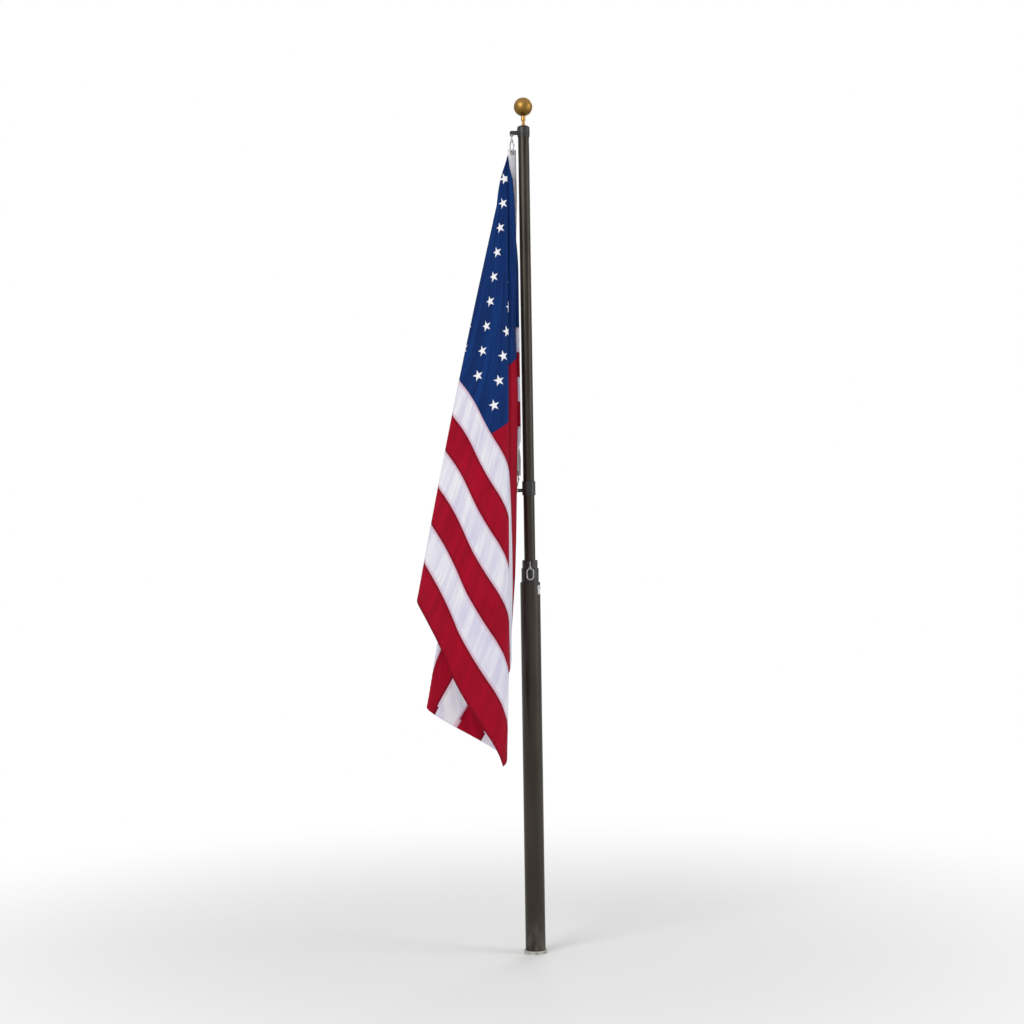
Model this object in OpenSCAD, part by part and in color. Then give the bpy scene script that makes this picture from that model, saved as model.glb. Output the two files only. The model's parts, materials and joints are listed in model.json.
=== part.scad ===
// A telescoping garden flagpole with its swivel harness, its flag and a spare snap hook.
// Millimetres, +Z up. The pole's axis is the Z axis and its foot stands on Z = 0.
// The flag hangs on the -X side of the pole, and -Y is the side that is looked at.

/* [Pole] */
// Outer diameter of the base tube
base_tube_d = 57.15; // [56:0.05:60]
// Outer diameter of the lower sliding tube
lower_tube_d = 44.45; // [43:0.05:45]
// Outer diameter of the middle sliding tube
middle_tube_d = 38.1; // [37.5:0.05:39]
// Outer diameter of the top tube
top_tube_d = 31.75; // [31:0.05:32]
// Wall of every tube
tube_wall = 2.6; // [2.2:0.05:2.8]
// Height of the base tube's mouth above the ground
base_top_z = 1058; // [1040:1:1080]
// Height of the shoulder under the swivel collar
top_tube_top_z = 2331; // [2300:1:2360]
// Length of the top tube that stays inside the middle tube
top_tube_inside = 180; // [150:1:240]
// Gap between a sliding tube and the collar around it, on the radius
slide_gap = 0.3; // [0.2:0.05:0.4]

/* [Collars] */
// Outer diameter of the lower section's collar
lower_collar_d = 49.5; // [48:0.1:54]
// Height of the lower section's collar
lower_collar_h = 40; // [34:1:46]
// Outer diameter of the middle section's collar
middle_collar_d = 43.7; // [42:0.1:46]
// Height of the middle section's collar
middle_collar_h = 23; // [20:1:28]
// Thickness of the lip that closes each tube's mouth
lip_h = 3; // [2.4:0.1:4]
// Depth of the base bushing inside the base tube
bushing_depth = 45; // [30:1:60]

/* [Foot] */
// Outer diameter of the ground sleeve's rim
sleeve_d = 66; // [63:0.5:70]
// Height of the ground sleeve's rim above the ground
sleeve_h = 9; // [6:0.5:14]
// Thickness of the plug that closes the base tube
plug_h = 6; // [4:0.5:10]

/* [Finial] */
// Diameter of the gold ball
ball_d = 53.4; // [50:0.1:56]
// Height of the ball's centre above the swivel collar's top
ball_rise = 55; // [53:0.5:58]

/* [Harness] */
// Outer diameter of the swivel collar
swivel_d = 36; // [35:0.1:38]
// Height of the swivel collar
swivel_h = 27; // [25:0.5:30]
// Reach of the arm's hole from the pole's axis
arm_reach = 34; // [32:0.5:36]
// Outer diameter of the lower ring
ring_d = 38; // [36.5:0.1:40]
// Height of the lower ring
ring_h = 41; // [38:0.5:44]
// Height of the lower ring's tab above the ring's underside
tab_rise = 14; // [10:0.5:20]
// Gap between the harness pieces and the top tube, on the radius
turn_gap = 0.5; // [0.4:0.05:0.7]

/* [Snap hooks] */
// Diameter of a snap hook's rod
rod_d = 4; // [3.6:0.1:4.2]
// Width of a snap hook over its rods
snap_w = 22; // [21:0.1:23]
// Length of a snap hook between the middles of its end rods
snap_len = 51; // [49:0.5:53]
// Diameter of the wire of a snap hook's eye
eye_wire_d = 3.2; // [3:0.1:3.3]
// Radius of a snap hook's eye, to the middle of its wire
eye_r = 6; // [5.9:0.1:6.3]

/* [Flag] */
// Length of the coloured field along the fly, from the heading's seam
fly = 1470; // [1450:1:1480]
// Height of the coloured field along the hoist
hoist = 916; // [910:0.5:922]
// Thickness of the modelled cloth
cloth_t = 1; // [0.8:0.05:1.1]
// Width of the canvas heading
header_w = 26; // [25:0.5:26.5]
// Thickness of the canvas heading
header_t = 1.2; // [1:0.05:1.2]
// Distance of both grommets' middles from the ends of the heading
grommet_inset = 9.5; // [9:0.1:11]
// Angle that the heading is turned from facing -Y where the grommets hold it
header_turn = 30; // [26:1:34]
// Angle that it turns further between the grommets
header_twist = 76; // [72:1:80]
// Distance of its seam from the pole's axis between the grommets, sideways
seam_reach = 20.5; // [20:0.5:24]
// Distance of its seam in front of the pole's axis there
seam_front = 10.5; // [9.5:0.5:12]
// Distance of the field's top corner below the upper grommet's middle
corner_down = 5; // [4:0.5:6]
// Length of the gathered cloth between the top corner and the open folds
gather_len = 84; // [80:1:95]

/* [Hidden] */

$fn = 96;
bronze = [0.17, 0.15, 0.13];
charcoal = [0.13, 0.12, 0.13];
gold = [0.83, 0.62, 0.22];
silver = [0.75, 0.75, 0.77];
brass = [0.71, 0.57, 0.29];
pale = [0.72, 0.71, 0.68];
canvas = [0.88, 0.88, 0.85];
cloth_red = [0.66, 0.02, 0.14];
cloth_white = [0.9, 0.9, 0.92];
cloth_navy = [0.03, 0.13, 0.34];

// Tubes
base_r = base_tube_d / 2;
lower_r = lower_tube_d / 2;
middle_r = middle_tube_d / 2;
top_r = top_tube_d / 2;
base_shoulder_z = base_top_z + lip_h;
lower_top_z = base_shoulder_z + lower_collar_h;
middle_top_z = lower_top_z + middle_collar_h;
lower_foot_rise = 14;
middle_foot_rise = 10;
lower_foot_z = plug_h + lower_foot_rise;
middle_foot_z = lower_foot_z + middle_foot_rise;
top_foot_z = middle_top_z - top_tube_inside;

// Cap, finial and swivel collar
cap_neck_r = 8;
cap_flange_r = top_r + 1.4;
cap_flange_h = 4;
cap_plug_h = 20;
swivel_z = top_tube_top_z + cap_flange_h;
swivel_top_z = swivel_z + swivel_h;
ball_z = swivel_top_z + ball_rise;
ball_r = ball_d / 2;

// Snap hooks
rod_r = rod_d / 2;
bend_r = snap_w / 2 - rod_r;
eye_wire_r = eye_wire_d / 2;
tab_hole_play = 1.2;
tab_hole_r = eye_wire_r + tab_hole_play;
shank_r = 1.6;
hub_r = 3;
shank_len = 4;
hub_len = 4;
hub_z = 2 * eye_r + shank_len;
side_foot_z = bend_r - snap_len;
side_top_z = -hub_z - hub_len - bend_r;
snap_drop = 0.9;
arm_rise = 2.5;
arm_z = swivel_z + arm_rise;
grommet_play = 1.6;
grommet_hole_r = rod_r + grommet_play;
grommet_r = 6;
grommet_t = 3;
rest_gap = 0.2;
grommet_drop = grommet_play - rest_gap;
top_grommet_z = arm_z + snap_drop - snap_len - grommet_drop;

// Top end of the seam between heading and field, the shift of the seam's middle from it, and
// the lower ring that hangs from the flag
apex = [
    -arm_reach - header_w / 2 * cos(header_turn),
    -header_w / 2 * sin(header_turn),
    top_grommet_z - corner_down
];
seam_shift = [-seam_reach - apex[0], -seam_front - apex[1], 0];
lower_grommet_z = apex[2] - hoist + grommet_inset;
tab_z = lower_grommet_z - grommet_drop - snap_len + snap_drop;
ring_z = tab_z - tab_rise;

// Spare hook
eye_bar_out = 11;
eye_bar_down = 7;
eye_bar_r = 1.5;
eye_bar_y = -middle_collar_d / 2 - eye_bar_out;
eye_bar_z = middle_top_z - eye_bar_down;

// Flag: the cloth falls from the top end of its seam in rays. Each entry has the ray's angle
// in the flat flag, 0 along the top edge and 90 down the seam, and the lean that it hangs
// with, sideways and away from the viewer. All are degrees.
rays = [
    [0, 0, -0.7], [4.4, -2.3, -3.8], [5.9, -2.7, -3.1], [11.8, -6.6, -1.3],
    [12.8, -6.8, -2.2], [17, -2.8, -3.3], [22.6, -8.4, -3.1], [24.1, -9.1, -4.4],
    [31.8, -1.2, -4.6], [34, -0.3, -6.7], [38.3, -5.5, -8.5], [43.2, -9.4, -7.7],
    [46.8, -11.9, -5.2], [49.8, -13, -2.6], [53.8, -13.3, 1.6], [58.2, -10.4, 5.2],
    [67.8, -1, 4.4], [69.4, -0.7, 2.8], [77.8, -9.5, 2.9], [79.6, -10.3, 1.2],
    [83.9, -6, 1.1], [90, 0, 0]
];
// Degrees that the folds wander across the cloth over a metre, by flat angle
drift = [[0, 0], [34, 2], [42, 4.5], [50, 4.8], [70, 1.5], [90, 0]];
// How far the free top edge hangs round to the front of the heading, by distance
edge_swing = [
    [0, 0], [40, 4], [80, 12.5], [140, 16.5], [225, 21], [310, 23.5], [395, 24],
    [480, 22.5], [620, 17], [995, 11], [1480, 0]
];
edge_band = 8;
edge_front = 0.4;
seam_from = 10;
seam_over = 330;
seam_until = 20;
seam_back = 150;
tail_from = 1250;
tail_curl = 0.000036;

// Pattern: thirteen stripes, and a canton over the first seven
stripes = 13;
canton_stripes = 7;
stripe_h = hoist / stripes;
canton_h = canton_stripes * stripe_h;
canton_w = fly * 0.427;
seam_gap = 0.3;

// Facets of the cloth: cells along each ray, and the spacing of the rays
canton_cells = 6;
long_stripes = 4;
long_cells = 4;
end_stripes = 3;
end_cells = 2;
corner_step = 0.1;
fine_step = 1;
fine_band = 12;
shortest_row = 2;

// The ray list with its corners cut twice
function cut_once(p) = concat(
    [p[0]],
    [for (i = [0:len(p) - 2]) each [
        p[i] * 0.75 + p[i + 1] * 0.25,
        p[i] * 0.25 + p[i + 1] * 0.75
    ]],
    [p[len(p) - 1]]
);
soft_rays = cut_once(cut_once(rays));
side_lean = [for (p = soft_rays) [p[0], p[1]]];
depth_lean = [for (p = soft_rays) [p[0], p[2]]];

// Flat angles at which the cloth is cut into facets: at and beside every corner of the
// pattern, so that neighbours are cut alike, and between them at the rays
corners = concat(
    [for (k = [1:stripes - 1]) atan2(k * stripe_h, fly)],
    [for (k = [1:canton_stripes]) atan2(k * stripe_h, canton_w)]
);
facet_angles = sorted(concat(
    [0, 90],
    [for (c = corners, side = [-1:1]) c + side * corner_step],
    [for (t = [fine_step:fine_step:fine_band]) if (off_corners(t)) t],
    [for (p = soft_rays) if (p[0] > fine_band && off_corners(p[0])) p[0]]
));

function off_corners(t) = min([for (c = corners) abs(t - c)]) > 2 * corner_step;

function sorted(list) = len(list) < 2 ? list : let (middle = list[floor(len(list) / 2)]) concat(
    sorted([for (v = list) if (v < middle) v]),
    [middle],
    sorted([for (v = list) if (v > middle) v])
);

function ease(x) = let (c = min(max(x, 0), 1)) c * c * (3 - 2 * c);

// How far the heading has turned and swung in at a distance below the seam's top end
function heading_share(down) =
    ease((down - seam_from) / seam_over) * ease((hoist - seam_until - down) / seam_back);

// Where the point of the flat flag at angle t and distance r from the top corner hangs
function hang(t, r) = let (
    flow = t + (r / 1000 - 1) * lookup(t, drift),
    x = sin(lookup(flow, side_lean)),
    y = sin(lookup(flow, depth_lean)),
    swing = lookup(r, edge_swing) * ease(1 - t / edge_band),
    share = heading_share(r) * ease((t - 90 + edge_band) / edge_band),
    curl = tail_curl * pow(max(r - tail_from, 0), 2)
) apex + seam_shift * share + [
    x * r + swing - curl,
    y * r - edge_front * swing,
    -sqrt(1 - x * x - y * y) * r
];

// The side that the cloth faces there
function hang_face(t, r) = let (
    down = hang(t, r + 1) - hang(t, r - 1),
    round = hang(min(t + 0.6, 90), r) - hang(max(t - 0.6, 0), r),
    d = cross(down, round)
) d / norm(d);

// Distance along the ray of flat angle t to a line across the flag, or down it
function to_u(u, t) = u / max(cos(t), 0.001);
function to_v(v, t) = v / max(sin(t), 0.001);

// A hollow tube from z0 to z1
module tube(outer, inner, z0, z1) {
    translate([0, 0, z0])
        difference() {
            cylinder(r = outer, h = z1 - z0);
            translate([0, 0, -1])
                cylinder(r = inner, h = z1 - z0 + 2);
        }
}

// A collar around a tube's mouth with a lip over its end
module mouth_collar(outer, tube_r, inner_r, z0, z1) {
    chamfer = 1.2;
    rotate_extrude()
        polygon([
            [tube_r, z0], [outer, z0], [outer, z1 - chamfer], [outer - chamfer, z1],
            [inner_r, z1], [inner_r, z1 - lip_h], [tube_r, z1 - lip_h]
        ]);
}

// The eye of one snap hook. It hangs from the origin, which is the middle of its wire, and
// its shank runs down into the hub of the frame.
module snap_eye() {
    translate([0, 0, -eye_r])
        rotate([0, 90, 0])
            rotate_extrude()
                translate([eye_r, 0])
                    circle(r = eye_wire_r, $fn = 32);
    translate([0, 0, -hub_z])
        cylinder(r = shank_r, h = hub_z - 2 * eye_r);
}

// The frame of one snap hook in the XZ plane, open on its +X side where the gate closes it
module snap_frame() {
    step = 0.03;
    overlap = 0.4;
    translate([0, 0, -hub_z])
        mirror([0, 0, 1])
            cylinder(r = hub_r, h = -side_top_z - bend_r - hub_z);
    translate([-bend_r, 0, side_foot_z - overlap])
        cylinder(r = rod_r - step, h = side_top_z - side_foot_z + 2 * overlap);
    translate([0, 0, side_foot_z])
        frame_arc(180, 360);
    translate([0, 0, side_top_z])
        frame_arc(50, 180);
}

// Part of a snap hook's end bend
module frame_arc(from, to) {
    rotate([90, 0, 0])
        rotate([0, 0, from])
            rotate_extrude(angle = to - from)
                translate([bend_r, 0])
                    circle(r = rod_r, $fn = 32);
}

// The gate that closes one snap hook's open side
module snap_gate() {
    translate([bend_r, 0, side_foot_z + 0.2])
        cylinder(r = rod_r * 0.85, h = side_top_z - side_foot_z + 1.6);
}

// The three places where a snap hook hangs, turned about its shank; the lower one stands on
// its head
module place_spare_snap() {
    translate([0, eye_bar_y, eye_bar_z + eye_bar_r + eye_wire_r + 0.1])
        children();
}

module place_top_snap(turn) {
    translate([-arm_reach, 0, arm_z + snap_drop])
        rotate([0, 0, turn])
            children();
}

module place_lower_snap(turn) {
    translate([-arm_reach, 0, tab_z - snap_drop])
        rotate([0, 180, turn])
            children();
}

// Sets its children, made round the Z axis, square to the heading at a grommet's height
module place_grommet(z) {
    translate([-arm_reach, 0, z])
        rotate([90, 0, header_turn])
            children();
}

// A flat ring that lines a hole in the heading
module grommet() {
    half = grommet_t / 2;
    roll = 0.8;
    rotate_extrude()
        polygon([
            [grommet_hole_r, -half + roll], [grommet_hole_r + roll, -half],
            [grommet_r - roll, -half], [grommet_r, -half + roll],
            [grommet_r, half - roll], [grommet_r - roll, half],
            [grommet_hole_r + roll, half], [grommet_hole_r, half - roll]
        ]);
}

module ground_sleeve() {
    color(pale)
        tube(sleeve_d / 2, base_r, 0, sleeve_h);
}

module base_plug() {
    color(charcoal)
        cylinder(r = base_r - tube_wall, h = plug_h);
}

module base_tube() {
    color(bronze)
        tube(base_r, base_r - tube_wall, 0, base_top_z);
}

module base_collar() {
    skirt_r = base_r - tube_wall;
    bore_r = lower_r + slide_gap;
    color(charcoal)
        rotate_extrude()
            polygon([
                [bore_r, base_top_z - bushing_depth], [skirt_r, base_top_z - bushing_depth],
                [skirt_r, base_top_z], [base_r, base_top_z],
                [base_r, base_shoulder_z - 1], [base_r - 1, base_shoulder_z],
                [bore_r, base_shoulder_z]
            ]);
}

module base_lock_button() {
    button_r = 4.5;
    down = 12;
    sunk = 4;
    stands_out = 3;
    color(silver)
        difference() {
            rotate([0, 0, -32])
                translate([base_r - sunk, 0, base_top_z - down])
                    rotate([0, 90, 0])
                        cylinder(r = button_r, h = sunk + stands_out);
            translate([0, 0, base_top_z - 2 * down])
                cylinder(r = base_r, h = 2 * down);
        }
}

module lower_tube() {
    color(bronze)
        tube(lower_r, lower_r - tube_wall, lower_foot_z, lower_top_z - lip_h);
}

module lower_collar() {
    color(charcoal)
        mouth_collar(
            lower_collar_d / 2, lower_r, middle_r + slide_gap, base_shoulder_z, lower_top_z
        );
}

module middle_tube() {
    color(bronze)
        tube(middle_r, middle_r - tube_wall, middle_foot_z, middle_top_z - lip_h);
}

module middle_collar() {
    color(charcoal)
        mouth_collar(
            middle_collar_d / 2, middle_r, top_r + slide_gap, lower_top_z, middle_top_z
        );
}

// A staple on the collar's front: two ears and the bar that carries the spare hook
module spare_eye() {
    ear_x = 6;
    ear_t = 2.4;
    ear_r = 3;
    ear_root = middle_collar_d / 2 - 14;
    color(charcoal) {
        for (side = [-1, 1])
            difference() {
                translate([side * ear_x - ear_t / 2, eye_bar_y - ear_r, eye_bar_z - ear_r])
                    cube([ear_t, -eye_bar_y + ear_r - ear_root, 2 * ear_r]);
                translate([0, 0, eye_bar_z - 2 * ear_r])
                    cylinder(r = middle_collar_d / 2, h = 4 * ear_r);
            }
        translate([-ear_x, eye_bar_y, eye_bar_z])
            rotate([0, 90, 0])
                cylinder(r = eye_bar_r, h = 2 * ear_x);
    }
}

module spare_snap_eye() {
    color(silver)
        place_spare_snap()
            snap_eye();
}

module spare_snap_body() {
    color(silver)
        place_spare_snap()
            snap_frame();
}

module spare_snap_gate() {
    color(silver)
        place_spare_snap()
            snap_gate();
}

module top_tube() {
    color(bronze)
        tube(top_r, top_r - tube_wall, top_foot_z, top_tube_top_z);
}

// The cap closes the top tube, and its neck is the bearing of the swivel collar
module top_cap() {
    color(charcoal)
        rotate_extrude()
            polygon([
                [0, top_tube_top_z - cap_plug_h],
                [top_r - tube_wall, top_tube_top_z - cap_plug_h],
                [top_r - tube_wall, top_tube_top_z], [cap_flange_r, top_tube_top_z],
                [cap_flange_r, swivel_z - 0.6], [cap_flange_r - 0.6, swivel_z - 0.4],
                [cap_neck_r, swivel_z - 0.4], [cap_neck_r, swivel_top_z + 0.4],
                [0, swivel_top_z + 0.4]
            ]);
}

// Turned stem between the cap and the ball
module finial_stem() {
    foot_z = swivel_top_z + 0.4;
    color(brass)
        rotate_extrude()
            polygon([
                [0, foot_z], [7.5, foot_z], [7.5, foot_z + 1.8], [5.2, foot_z + 3.4],
                [4.5, foot_z + 8], [4.5, foot_z + 12], [6.6, foot_z + 16],
                [6.6, foot_z + ball_rise - ball_r + 2.5], [0, foot_z + ball_rise - ball_r + 2.5]
            ]);
}

module finial_ball() {
    color(gold)
        difference() {
            translate([0, 0, ball_z])
                sphere(r = ball_r);
            translate([0, 0, swivel_top_z])
                cylinder(r = 6.6, h = 0.4 + ball_rise - ball_r + 2.5);
        }
}

// Swivel collar with the arm that carries the flag's top corner
module swivel_collar() {
    swivel_r = swivel_d / 2;
    bore_r = cap_neck_r + turn_gap;
    bar_h = 12;
    arm_t = 5;
    tip_r = 5.5;
    groove = 0.8;
    color(charcoal)
        difference() {
            union() {
                rotate_extrude()
                    polygon([
                        [bore_r, swivel_z], [swivel_r, swivel_z],
                        [swivel_r, swivel_z + 4], [swivel_r - groove, swivel_z + 4 + groove],
                        [swivel_r, swivel_z + 4 + 2 * groove],
                        [swivel_r, swivel_top_z - 4], [swivel_r - 4, swivel_top_z],
                        [bore_r, swivel_top_z]
                    ]);
                difference() {
                    translate([-arm_reach, -arm_t / 2, swivel_z + 2])
                        cube([arm_reach - swivel_r + 4, arm_t, bar_h]);
                    cylinder(r = swivel_r - 2, h = swivel_top_z);
                }
                for (z = [arm_z, swivel_z + 2 + bar_h - tip_r])
                    translate([-arm_reach, arm_t / 2, z])
                        rotate([90, 0, 0])
                            cylinder(r = tip_r, h = arm_t);
            }
            translate([-arm_reach, arm_t, arm_z])
                rotate([90, 0, 0])
                    cylinder(r = tab_hole_r, h = arm_t * 2);
        }
}

module top_snap_eye() {
    color(silver)
        place_top_snap(0)
            snap_eye();
}

module top_snap_body() {
    color(silver)
        place_top_snap(header_turn - 90)
            snap_frame();
}

module top_snap_gate() {
    color(silver)
        place_top_snap(header_turn - 90)
            snap_gate();
}

module top_grommet() {
    color(brass)
        place_grommet(top_grommet_z)
            grommet();
}

// Lower ring with the tab that carries the lower hook
module lower_ring() {
    tab_t = 5;
    tab_r = 5;
    bore_r = top_r + turn_gap;
    color(charcoal)
        difference() {
            union() {
                rotate_extrude()
                    polygon([
                        [bore_r, ring_z], [ring_d / 2, ring_z],
                        [ring_d / 2, ring_z + ring_h - 3], [ring_d / 2 - 1.4, ring_z + ring_h],
                        [bore_r, ring_z + ring_h]
                    ]);
                translate([-arm_reach, -tab_t / 2, tab_z - tab_r])
                    cube([arm_reach - bore_r - 1, tab_t, 2 * tab_r]);
                translate([-arm_reach, tab_t / 2, tab_z])
                    rotate([90, 0, 0])
                        cylinder(r = tab_r, h = tab_t);
            }
            translate([-arm_reach, tab_t, tab_z])
                rotate([90, 0, 0])
                    cylinder(r = tab_hole_r, h = tab_t * 2);
        }
}

module lower_snap_eye() {
    color(silver)
        place_lower_snap(0)
            snap_eye();
}

module lower_snap_body() {
    color(silver)
        place_lower_snap(header_turn + 90)
            snap_frame();
}

module lower_snap_gate() {
    color(silver)
        place_lower_snap(header_turn + 90)
            snap_gate();
}

module bottom_grommet() {
    color(brass)
        place_grommet(lower_grommet_z)
            grommet();
}

// Gathered cloth at the field's top corner, in front of the heading, down to the open folds
module flag_corner() {
    slab = 4;
    head = [4, 6];
    clear = 3.2;
    color(cloth_navy)
        translate(apex)
            difference() {
                hull() {
                    translate([-head[0] - 1, -head[1] / 2, -slab])
                        cube([head[0], head[1], slab]);
                    translate([0, 0, slab / 2 + 0.8 - gather_len])
                        linear_extrude(height = slab)
                            polygon([
                                [-20, -7], [-8, -13], [6, -11], [13, -7],
                                [1, 3], [-3, 7], [-14, 7], [-20, 1]
                            ]);
                }
                rotate([0, 0, header_turn])
                    translate([-0.5, -clear, -gather_len])
                        cube([2 * header_w, 2 * header_w, 2 * gather_len]);
            }
}

// Canvas heading: a ribbon that turns side on between its grommets, with a hole for each
module flag_header() {
    cell = (canton_h - gather_len) / canton_cells;
    levels = concat(
        [-corner_down - grommet_inset, seam_from],
        [for (j = [0:canton_cells]) gather_len + j * cell],
        [for (k = [canton_stripes + 1:stripes - end_stripes]) k * stripe_h],
        [for (i = [1:end_stripes * end_cells]) hoist - (end_stripes - i / end_cells) * stripe_h]
    );
    color(canvas)
        difference() {
            sheet_solid([for (down = levels) let (
                share = heading_share(down),
                turn = header_turn + header_twist * share,
                way = [cos(turn), sin(turn), 0],
                off = [-sin(turn), cos(turn), 0] * header_t / 2,
                seam = apex + seam_shift * share - [0, 0, down]
            ) [for (reach = [cloth_t / 2 + seam_gap, header_w]) [seam + way * reach, off]]]);
            for (z = [top_grommet_z, lower_grommet_z])
                place_grommet(z)
                    cylinder(r = grommet_r, h = header_w, center = true);
        }
}

module flag_canton() {
    color(cloth_navy)
        folded_patch(0, canton_w, 0, canton_h, canton_cells);
}

module flag_red_stripes() {
    color(cloth_red)
        for (k = [0:2:stripes - 1])
            stripe(k);
}

module flag_white_stripes() {
    color(cloth_white)
        for (k = [1:2:stripes - 2])
            stripe(k);
}

// One stripe of the flag, counted from the top; the upper ones start at the canton
module stripe(k) {
    folded_patch(
        k < canton_stripes ? canton_w : 0, fly,
        k * stripe_h, (k + 1) * stripe_h,
        k < long_stripes ? long_cells : k < stripes - end_stripes ? 1 : end_cells
    );
}

// The flat patch from u0 to u1 along the fly and v0 to v1 down it, hung in the flag's folds
// and cut into a number of cells along each ray
module folded_patch(u0, u1, v0, v1, cells) {
    sheet_solid([for (a = facet_angles) let (
        near = max(gather_len, to_u(u0, a), to_v(v0, a)),
        far = min(to_u(u1 - seam_gap, a), to_v(v1 - seam_gap, a))
    ) if (far - near > shortest_row) [
        for (j = [0:cells]) let (r = near + (far - near) * j / cells)
            [hang(a, r), hang_face(a, r) * cloth_t / 2]
    ]]);
}

// The solid of a sheet given as rows of points, each with its offset to the sheet's one face
module sheet_solid(rows) {
    n = len(rows[0]);
    last = len(rows) - 1;
    points = [for (row = rows) each [for (p = row) each [p[0] - p[1], p[0] + p[1]]]];
    faces = concat(
        [for (i = [0:last - 1], j = [0:n - 2])
            let (a = 2 * (i * n + j), b = a + 2 * n, c = b + 2, d = a + 2) each [
                [a, b, c], [a, c, d], [a + 1, d + 1, c + 1], [a + 1, c + 1, b + 1]
            ]],
        [for (i = [0:last - 1])
            let (a = 2 * i * n, b = a + 2 * n, d = a + 2 * n - 2, c = d + 2 * n) each [
                [a, a + 1, b + 1], [a, b + 1, b], [d, c, c + 1], [d, c + 1, d + 1]
            ]],
        [for (j = [0:n - 2])
            let (a = 2 * j, e = 2 * (last * n + j)) each [
                [a, a + 2, a + 3], [a, a + 3, a + 1], [e, e + 1, e + 3], [e, e + 3, e + 2]
            ]]
    );
    polyhedron(points = points, faces = faces);
}

ground_sleeve();
base_plug();
base_tube();
base_collar();
base_lock_button();
lower_tube();
lower_collar();
middle_tube();
middle_collar();
spare_eye();
spare_snap_eye();
spare_snap_body();
spare_snap_gate();
top_tube();
top_cap();
finial_stem();
finial_ball();
swivel_collar();
top_snap_eye();
top_snap_body();
top_snap_gate();
top_grommet();
lower_ring();
lower_snap_eye();
lower_snap_body();
lower_snap_gate();
bottom_grommet();
flag_corner();
flag_header();
flag_canton();
flag_red_stripes();
flag_white_stripes();
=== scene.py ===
"""Dresses the telescoping garden flagpole: finishes for its tubes and fittings, and the limp flag on its harness."""

import json
import logging
from collections.abc import Callable
from dataclasses import dataclass, field
from enum import Enum
from math import cos, pi, radians, sin

import bmesh
import bpy
import numpy as np
from mathutils import Matrix, Vector


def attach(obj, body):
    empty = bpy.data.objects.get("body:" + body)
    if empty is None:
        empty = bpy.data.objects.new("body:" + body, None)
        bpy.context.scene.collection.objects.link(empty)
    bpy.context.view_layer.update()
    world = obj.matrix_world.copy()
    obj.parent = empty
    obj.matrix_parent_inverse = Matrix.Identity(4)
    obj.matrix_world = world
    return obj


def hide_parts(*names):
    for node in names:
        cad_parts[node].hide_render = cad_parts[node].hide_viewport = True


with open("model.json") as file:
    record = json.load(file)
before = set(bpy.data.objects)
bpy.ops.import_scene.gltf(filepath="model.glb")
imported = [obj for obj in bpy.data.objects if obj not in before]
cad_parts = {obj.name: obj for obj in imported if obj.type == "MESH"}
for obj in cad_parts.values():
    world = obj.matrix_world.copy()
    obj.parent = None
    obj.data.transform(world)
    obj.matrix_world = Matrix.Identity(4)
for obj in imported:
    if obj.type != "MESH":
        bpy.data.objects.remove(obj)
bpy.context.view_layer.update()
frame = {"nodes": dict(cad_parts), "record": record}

LOG = logging.getLogger("flagpole")
MM = 0.001
CLOTH_UV = 1.5  # metres of flat cloth to the unit of its UV map
Pair = tuple[float, float]
Triple = tuple[float, float, float]
Color = Triple
Table = tuple[Pair, ...]
Profile = Table


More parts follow.
